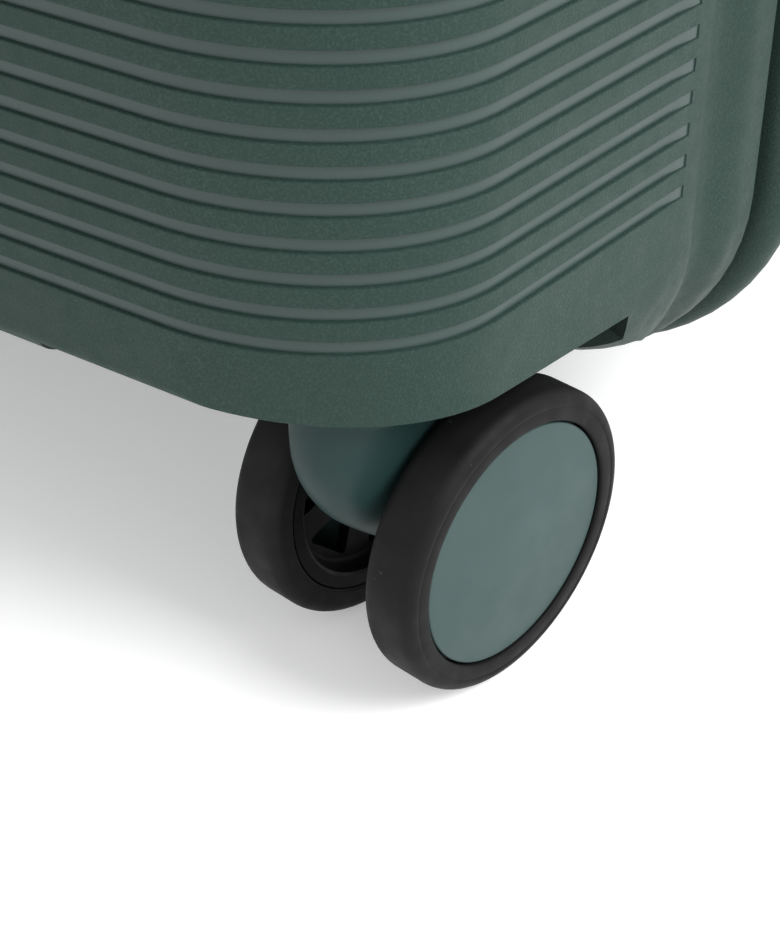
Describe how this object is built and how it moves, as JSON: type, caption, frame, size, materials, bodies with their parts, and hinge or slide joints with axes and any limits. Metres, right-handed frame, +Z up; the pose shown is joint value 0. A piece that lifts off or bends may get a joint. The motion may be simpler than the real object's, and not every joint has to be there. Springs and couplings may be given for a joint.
{
  "type": "hard shell suitcase on wheels",
  "caption": "Hard shell cabin suitcase with ribbed halves, twin-wheel swivel casters, side hinge, latches, carry handles and a telescopic trolley handle.",
  "frame": {"origin": "on the ground under the middle of the case, in the seam plane between the two halves", "axes": "+Z up, the front half faces -Y, the rear half with the trolley handle faces +Y, the hinge is at -X and the latches at +X"},
  "size_m": [0.38, 0.23, 0.55],
  "materials": {
    "shell": "fine spark-eroded grain over the flats, smooth glossier groove floors",
    "smooth_plastic": "smooth satin moulded plastic",
    "wheel_cap": "smooth satin disc",
    "tyre": "dull moulded rubber",
    "wheel_hub": "smooth moulded plastic",
    "dark_plastic": "fine matt grain",
    "seam_frame": "satin black profile",
    "lining": "plain woven polyester",
    "trolley_tube": "satin anodised",
    "hinge_metal": "dark anodised",
    "steel": "bright drawn steel"
  },
  "bodies": {
    "rear_case": {"rear_shell": "shell", "rear_frame": "seam_frame", "rear_lining": "lining", "hinge_rear_leaf": "hinge_metal", "hinge_pin": "steel", "latch_plate": "hinge_metal", "trolley_bezel": "dark_plastic", "trolley_sleeve_left": "trolley_tube", "trolley_sleeve_right": "trolley_tube", "caster_housing_rear_right": "dark_plastic", "caster_housing_rear_left": "dark_plastic"},
    "front_case": {"front_shell": "shell", "front_frame": "seam_frame", "front_lining": "lining", "hinge_front_leaf": "hinge_metal", "catch_plate": "hinge_metal", "caster_housing_front_right": "dark_plastic", "caster_housing_front_left": "dark_plastic"},
    "latch_lower": {"latch_lever_lower": "dark_plastic"},
    "latch_upper": {"latch_lever_upper": "dark_plastic"},
    "top_carry_handle": {"top_handle": "smooth_plastic"},
    "side_carry_handle": {"side_handle": "smooth_plastic"},
    "trolley_middle_stage": {"trolley_mid_tube_left": "trolley_tube", "trolley_mid_tube_right": "trolley_tube"},
    "trolley_upper_stage": {"trolley_inner_tube_left": "trolley_tube", "trolley_inner_tube_right": "trolley_tube", "trolley_grip": "smooth_plastic"},
    "trolley_release_button": {"trolley_button": "dark_plastic"},
    "caster_front_right": {"caster_fork_front_right": "smooth_plastic", "axle_front_right": "steel"},
    "wheel_front_right_right": {"tyre_front_right_right": "tyre", "hub_front_right_right": "wheel_hub", "cap_front_right_right": "wheel_cap"},
    "wheel_front_right_left": {"tyre_front_right_left": "tyre", "hub_front_right_left": "wheel_hub", "cap_front_right_left": "wheel_cap"},
    "caster_front_left": {"caster_fork_front_left": "smooth_plastic", "axle_front_left": "steel"},
    "wheel_front_left_right": {"tyre_front_left_right": "tyre", "hub_front_left_right": "wheel_hub", "cap_front_left_right": "wheel_cap"},
    "wheel_front_left_left": {"tyre_front_left_left": "tyre", "hub_front_left_left": "wheel_hub", "cap_front_left_left": "wheel_cap"},
    "caster_rear_right": {"caster_fork_rear_right": "smooth_plastic", "axle_rear_right": "steel"},
    "wheel_rear_right_right": {"tyre_rear_right_right": "tyre", "hub_rear_right_right": "wheel_hub", "cap_rear_right_right": "wheel_cap"},
    "wheel_rear_right_left": {"tyre_rear_right_left": "tyre", "hub_rear_right_left": "wheel_hub", "cap_rear_right_left": "wheel_cap"},
    "caster_rear_left": {"caster_fork_rear_left": "smooth_plastic", "axle_rear_left": "steel"},
    "wheel_rear_left_right": {"tyre_rear_left_right": "tyre", "hub_rear_left_right": "wheel_hub", "cap_rear_left_right": "wheel_cap"},
    "wheel_rear_left_left": {"tyre_rear_left_left": "tyre", "hub_rear_left_left": "wheel_hub", "cap_rear_left_left": "wheel_cap"}
  },
  "joints": [
    {"name": "lid_hinge", "type": "hinge", "parent": "rear_case", "child": "front_case", "pos_m": [-0.1855, 0, 0.2825], "axis": [0, 0, -1], "range_deg": [0, 180]},
    {"name": "latch_lower_flip", "type": "hinge", "parent": "rear_case", "child": "latch_lower", "pos_m": [0.1863, 0.016, 0.2045], "axis": [0, 0, 1], "range_deg": [0, 100]},
    {"name": "latch_upper_flip", "type": "hinge", "parent": "rear_case", "child": "latch_upper", "pos_m": [0.1863, 0.016, 0.3605], "axis": [0, 0, 1], "range_deg": [0, 100]},
    {"name": "top_handle_pull", "type": "slide", "parent": "rear_case", "child": "top_carry_handle", "axis": [0, 0, 1], "range_m": [0, 0.007], "stiffness_N_per_m": 400},
    {"name": "side_handle_pull", "type": "slide", "parent": "rear_case", "child": "side_carry_handle", "axis": [1, 0, 0], "range_m": [0, 0.009], "stiffness_N_per_m": 400},
    {"name": "trolley_lower_extend", "type": "slide", "parent": "rear_case", "child": "trolley_middle_stage", "axis": [0, 0, 1], "range_m": [0, 0.21]},
    {"name": "trolley_upper_extend", "type": "slide", "parent": "trolley_middle_stage", "child": "trolley_upper_stage", "axis": [0, 0, 1], "range_m": [0, 0.21]},
    {"name": "trolley_button_press", "type": "slide", "parent": "trolley_upper_stage", "child": "trolley_release_button", "axis": [0, 0, -1], "range_m": [0, 0.003], "stiffness_N_per_m": 600},
    {"name": "caster_front_right_swivel", "type": "hinge", "parent": "front_case", "child": "caster_front_right", "pos_m": [0.1496, -0.091, 0.0595], "axis": [0, 0, 1], "continuous": true},
    {"name": "wheel_front_right_right_spin", "type": "hinge", "parent": "caster_front_right", "child": "wheel_front_right_right", "pos_m": [0.15257, -0.07244, 0.0295], "axis": [0.9874, -0.1582, 0], "continuous": true},
    {"name": "wheel_front_right_left_spin", "type": "hinge", "parent": "caster_front_right", "child": "wheel_front_right_left", "pos_m": [0.15257, -0.07244, 0.0295], "axis": [0.9874, -0.1582, 0], "continuous": true},
    {"name": "caster_front_left_swivel", "type": "hinge", "parent": "front_case", "child": "caster_front_left", "pos_m": [-0.1496, -0.091, 0.0595], "axis": [0, 0, 1], "continuous": true},
    {"name": "wheel_front_left_right_spin", "type": "hinge", "parent": "caster_front_left", "child": "wheel_front_left_right", "pos_m": [-0.14829, -0.07225, 0.0295], "axis": [0.9976, -0.0698, 0], "continuous": true},
    {"name": "wheel_front_left_left_spin", "type": "hinge", "parent": "caster_front_left", "child": "wheel_front_left_left", "pos_m": [-0.14829, -0.07225, 0.0295], "axis": [0.9976, -0.0698, 0], "continuous": true},
    {"name": "caster_rear_right_swivel", "type": "hinge", "parent": "rear_case", "child": "caster_rear_right", "pos_m": [0.1496, 0.091, 0.0595], "axis": [0, 0, 1], "continuous": true},
    {"name": "wheel_rear_right_right_spin", "type": "hinge", "parent": "caster_rear_right", "child": "wheel_rear_right_right", "pos_m": [0.1308, 0.091, 0.0295], "axis": [0, 1, 0], "continuous": true},
    {"name": "wheel_rear_right_left_spin", "type": "hinge", "parent": "caster_rear_right", "child": "wheel_rear_right_left", "pos_m": [0.1308, 0.091, 0.0295], "axis": [0, 1, 0], "continuous": true},
    {"name": "caster_rear_left_swivel", "type": "hinge", "parent": "rear_case", "child": "caster_rear_left", "pos_m": [-0.1496, 0.091, 0.0595], "axis": [0, 0, 1], "continuous": true},
    {"name": "wheel_rear_left_right_spin", "type": "hinge", "parent": "caster_rear_left", "child": "wheel_rear_left_right", "pos_m": [-0.14829, 0.07225, 0.0295], "axis": [-0.9976, -0.0698, 0], "continuous": true},
    {"name": "wheel_rear_left_left_spin", "type": "hinge", "parent": "caster_rear_left", "child": "wheel_rear_left_left", "pos_m": [-0.14829, 0.07225, 0.0295], "axis": [-0.9976, -0.0698, 0], "continuous": true}
  ]
}
